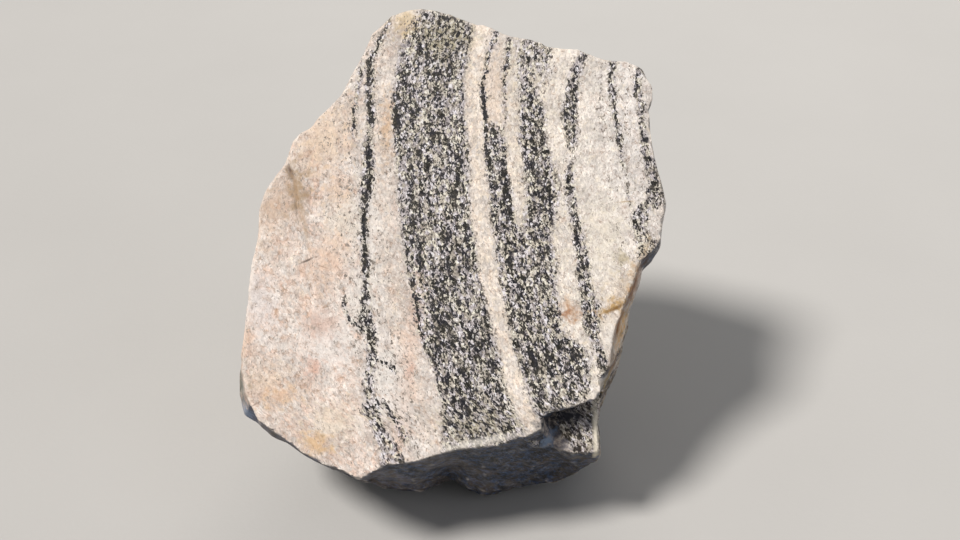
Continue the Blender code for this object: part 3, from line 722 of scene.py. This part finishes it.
    # between the flakes of a band the light grains are greyer, some olive and some lilac
    bandTone = addNode(tree, "Mix", {0: 0.5, 2: draws["grain"].outputs[2],
                                     3: draws["flake"].outputs[2]})
    bandTone = addNode(tree, "MapRange", {0: bandTone, 1: 0.12, 2: 0.88})
    bandLight = addNode(tree, "ValToRGB", {0: bandTone}, stops=look["bandGrains"])
    greyer = addNode(tree, "Math", {0: inBand, 1: look["bandGrey"]}, operation="MULTIPLY")
    tint = addNode(tree, "MapRange", {0: crystal.outputs[1], 1: 0.3, 2: 0.7})
    bandTint = addNode(tree, "Mix", {0: tint, 6: look["olive"], 7: look["lilac"]},
                       data_type="RGBA")
    bandLight = addNode(tree, "Mix", {0: 1, 6: bandLight, 7: bandTint}, data_type="RGBA",
                        blend_type="MULTIPLY")
    light = addNode(tree, "Mix", {0: greyer, 6: light, 7: bandLight}, data_type="RGBA")

    # stains and cracks
    blot = addNode(tree, "TexNoise", {"Vector": onFace, "Scale": 1 / look["blotSize"], "Detail": 3})
    blot = addNode(tree, "VectorMath", {0: blot.outputs["Color"], 1: grey}, operation="SUBTRACT")
    reach = (look["blotReach"], look["blotReach"], 0)
    blotted = addNode(tree, "VectorMath", {0: blot, 1: reach, 2: onFace},
                      operation="MULTIPLY_ADD")
    breakUp = addNode(tree, "Math", {0: patches, 1: 0.5}, operation="SUBTRACT")
    light = layMarks(tree, light, marks, onFace, blotted, breakUp)

    # dark grains: biotite, browner and paler where a flake lies alone
    dark = addNode(tree, "ValToRGB", {0: tone}, stops=look["darkGrains"])
    darkTint = addNode(tree, "Mix", {0: tint, 6: look["darkOlive"], 7: look["darkBlue"]},
                       data_type="RGBA")
    dark = addNode(tree, "Mix", {0: look["darkTint"], 6: dark, 7: darkTint}, data_type="RGBA")
    dark = addNode(tree, "Mix", {0: inBand, 6: look["looseFlake"], 7: dark}, data_type="RGBA")
    color = addNode(tree, "Mix", {0: isDark, 6: light, 7: dark}, data_type="RGBA")

    # weathered skin on the old sides behind the fresh front
    low, high = look["skinDepth"]
    old = addNode(tree, "MapRange", {0: at["into"], 1: low, 2: high})
    low, high = look["skinCover"]
    skin = addNode(tree, "TexNoise", {"Vector": onFace, "Scale": 1 / look["skinSize"],
                                      "Detail": 6, "Roughness": 0.65})
    skin = addNode(tree, "MapRange", {0: skin, 1: 0.4, 2: 0.65, 3: low, 4: high})
    skin = addNode(tree, "Math", {0: skin, 1: old}, operation="MULTIPLY")
    grime = addNode(tree, "TexNoise", {"Vector": onFace, "Scale": 1 / look["grimeSize"],
                                       "Detail": 4})
    grime = addNode(tree, "MapRange", {0: grime, 1: 0.4, 2: 0.7})
    skinColor = addNode(tree, "Mix", {0: grime, 6: look["weathered"], 7: look["weatheredDark"]},
                        data_type="RGBA")
    color = addNode(tree, "Mix", {0: skin, 6: color, 7: skinColor}, data_type="RGBA")

    # the downward sides get painted shade: near black, with bluish pale grains as a painted blue
    # reflection
    normal = addNode(tree, "NewGeometry").outputs["Normal"]
    down = addNode(tree, "VectorMath", {0: normal, 1: look["paintedUnderShadeFrom"]}, operation="DOT_PRODUCT")
    low, high = look["paintedUnderShadeTurn"]
    down = addNode(tree, "MapRange", {0: down, 1: low, 2: high})
    low, high = look["paintedUnderShadeCover"]
    paintedUnderShade = addNode(tree, "MapRange", {0: grime, 3: low, 4: high})
    paintedUnderShade = addNode(tree, "Math", {0: paintedUnderShade, 1: down}, operation="MULTIPLY")
    paintedUnderShadeColor = addNode(tree, "Math", {0: tone, 1: 0.35, 2: patches}, operation="MULTIPLY_ADD")
    paintedUnderShadeColor = addNode(tree, "MapRange", {0: paintedUnderShadeColor, 1: 0.62, 2: 0.88})
    paintedUnderShadeColor = addNode(tree, "Mix", {0: paintedUnderShadeColor, 6: look["paintedUnderShade"], 7: look["paintedUnderShadeBlue"]},
                        data_type="RGBA")
    color = addNode(tree, "Mix", {0: paintedUnderShade, 6: color, 7: paintedUnderShadeColor}, data_type="RGBA")

    # edges are freshly bruised and pale, which also paints a highlight along the rims; hollows get
    # painted shade
    edgeShape = addNode(tree, "Attribute", attribute_name="edgeShape").outputs["Fac"]
    low, high = look["bruiseAndHighlightEdge"]
    bruiseAndHighlight = addNode(tree, "MapRange", {0: edgeShape, 1: low, 2: high, 3: 0,
                                        4: look["bruiseAndHighlightStrength"]})
    # less of it shows through grime and on dark grains
    bruiseAndHighlightShown = addNode(tree, "MapRange", {0: grime, 3: 1, 4: 0.3})
    bruiseAndHighlight = addNode(tree, "Math", {0: bruiseAndHighlight, 1: bruiseAndHighlightShown}, operation="MULTIPLY")
    bruiseAndHighlightShown = addNode(tree, "MapRange", {0: isDark, 3: 1, 4: 0.35})
    bruiseAndHighlight = addNode(tree, "Math", {0: bruiseAndHighlight, 1: bruiseAndHighlightShown}, operation="MULTIPLY")
    color = addNode(tree, "Mix", {0: bruiseAndHighlight, 6: color, 7: look["paleEdgeAndRimHighlight"]}, data_type="RGBA")
    # painted shade in the hollows
    low, high = look["hollowShadeDepth"]
    hollow = addNode(tree, "MapRange", {0: edgeShape, 1: low, 2: high, 3: 0,
                                        4: look["hollowShadeStrength"]})
    color = addNode(tree, "Mix", {0: hollow, 6: color, 7: look["hollowShade"]}, data_type="RGBA")
    color = layMarks(tree, color, rimMarks, onFace, blotted, breakUp)

    # feldspar is dull where it is broken, biotite and quartz glint
    rough = addNode(tree, "MapRange", {0: isDark, 3: look["feldsparRoughness"],
                                       4: look["biotiteRoughness"]})
    low, high = look["glint"]
    glint = addNode(tree, "MapRange", {0: draws["grain"].outputs[1], 3: low, 4: high})
    rough = addNode(tree, "Math", {0: rough, 1: glint}, operation="ADD")
    rough = addNode(tree, "Math", {0: skin, 1: look["skinRoughness"], 2: rough},
                    operation="MULTIPLY_ADD")

    # each grain broke at its own small angle and height
    tilt = addNode(tree, "VectorMath", {0: cells["flake"].outputs["Color"], 1: grey},
                   operation="SUBTRACT")
    tilt = addNode(tree, "VectorMath", {0: tilt, 1: (look["grainTilt"],) * 3, 2: normal},
                   operation="MULTIPLY_ADD")
    tilt = addNode(tree, "VectorMath", {0: tilt}, operation="NORMALIZE")
    fine = addNode(tree, "TexNoise", {"Vector": layered, "Scale": look["fineScale"], "Detail": 3})
    height = addNode(tree, "Math", {0: draws["grain"].outputs[2], 1: fine}, operation="ADD")
    bump = addNode(tree, "Bump", {"Height": height, "Normal": tilt,
                                  "Strength": look["reliefStrength"],
                                  "Distance": look["reliefHeight"]})

    shader = addNode(tree, "BsdfPrincipled", {"Base Color": color, "Roughness": rough,
                                              "Normal": bump, "IOR": look["ior"],
                                              "Specular IOR Level": look["specular"]})
    addNode(tree, "OutputMaterial", {"Surface": shader})
    material.diffuse_color = linear(look["plainColor"])
    return material


stone = buildStone(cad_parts["gneiss_block"], stoneShape)
stone.data.materials.clear()
stone.data.materials.append(gneissMaterial(gneissLook))
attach(stone, "root")
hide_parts("gneiss_block")
print("gneiss laid on the stone")


# A pale painted board under soft light.
studio = {
    "floorSize": 14.0,
    "floorColor": "#bfbdba",
    "floorShade": "#b9b7b4",
    "mottleScale": 9,       # per metre: cloudy patches of about 11 cm
    "rollerScale": 420,     # per metre: the stipple of a paint roller, about 2.4 mm
    "rollerHeight": 0.3 * mm,
    "rollerStrength": 0.2,
    "floorRoughness": 0.85,
    "worldColor": "#e9ecf0",
    "worldStrength": 0.22,
    # a broad soft key from the upper left, as wide as a softbox seen from the stone
    "key": {"from": (-0.5, -0.22, 0.84), "strength": 3.4, "softness": 13, "color": "#fffbf6"},
    # place, size, strength (W) and colour of the weaker soft lamps, all aimed at the stone
    "lamps": {
        "fill": ((1.1, -0.7, 0.8), 1.1, 2.2, "#f4f6ff"),
        "back": ((0.3, 1.2, 1.0), 1.0, 5, "#fbf9f6"),
    },
    "aim": (0, 0, 0.1),
}


def floorMaterial(settings):
    # matt painted board: nearly even, with a faint roller mottle and no shine
    material = bpy.data.materials.new("paintedBoard")
    material.use_nodes = True
    tree = material.node_tree
    tree.nodes.clear()
    place = addNode(tree, "TexCoord").outputs["Object"]
    mottle = addNode(tree, "TexNoise", {"Vector": place, "Scale": settings["mottleScale"],
                                        "Detail": 5})
    color = addNode(tree, "Mix", {0: mottle, 6: settings["floorColor"], 7: settings["floorShade"]},
                    data_type="RGBA")
    roller = addNode(tree, "TexNoise", {"Vector": place, "Scale": settings["rollerScale"],
                                        "Detail": 2})
    bump = addNode(tree, "Bump", {"Height": roller, "Strength": settings["rollerStrength"],
                                  "Distance": settings["rollerHeight"]})
    shader = addNode(tree, "BsdfPrincipled", {"Base Color": color, "Normal": bump,
                                              "Roughness": settings["floorRoughness"]})
    addNode(tree, "OutputMaterial", {"Surface": shader})
    return material


def buildStudio(settings):
    half = settings["floorSize"] / 2
    mesh = bpy.data.meshes.new("floor")
    corners = [(-half, -half, 0), (half, -half, 0), (half, half, 0), (-half, half, 0)]
    mesh.from_pydata(corners, [], [(0, 1, 2, 3)])
    floor = bpy.data.objects.new("floor", mesh)
    scene.collection.objects.link(floor)
    mesh.materials.append(floorMaterial(settings))

    world = scene.world or bpy.data.worlds.new("studioAir")
    scene.world = world
    world.use_nodes = True
    background = world.node_tree.nodes["Background"]
    background.inputs["Color"].default_value = linear(settings["worldColor"])
    background.inputs["Strength"].default_value = settings["worldStrength"]

    key = bpy.data.lights.new("key", "SUN")
    key.energy = settings["key"]["strength"]
    key.angle = math.radians(settings["key"]["softness"])
    key.color = linear(settings["key"]["color"])[:3]
    holder = bpy.data.objects.new("key", key)
    holder.rotation_euler = Vector(settings["key"]["from"]).to_track_quat("Z", "Y").to_euler()
    scene.collection.objects.link(holder)

    for name, (place, size, watts, color) in settings["lamps"].items():
        lamp = bpy.data.lights.new(name, "AREA")
        lamp.shape = "DISK"
        lamp.size = size
        lamp.energy = watts
        lamp.color = linear(color)[:3]
        holder = bpy.data.objects.new(name, lamp)
        holder.location = place
        aim = Vector(settings["aim"]) - Vector(place)
        holder.rotation_euler = aim.to_track_quat("-Z", "Y").to_euler()
        scene.collection.objects.link(holder)


# The lens and the height match the photograph's view: looking 36 degrees down on the stone.
cameraView = {
    "place": (0.01279, -0.43940, 0.41930),
    "down": 36,
    "lens": 45,
    "sensor": 36,
    "nearest": 0.01,
}


def placeCamera(view):
    data = bpy.data.cameras.new("camera")
    data.lens = view["lens"]
    data.sensor_width = view["sensor"]
    data.clip_start = view["nearest"]
    camera = bpy.data.objects.new("camera", data)
    camera.location = view["place"]
    camera.rotation_euler = (math.radians(90 - view["down"]), 0, 0)
    scene.collection.objects.link(camera)
    scene.camera = camera


buildStudio(studio)
placeCamera(cameraView)
scene.view_settings.view_transform = "Standard"
print("floor, lamps and camera placed")
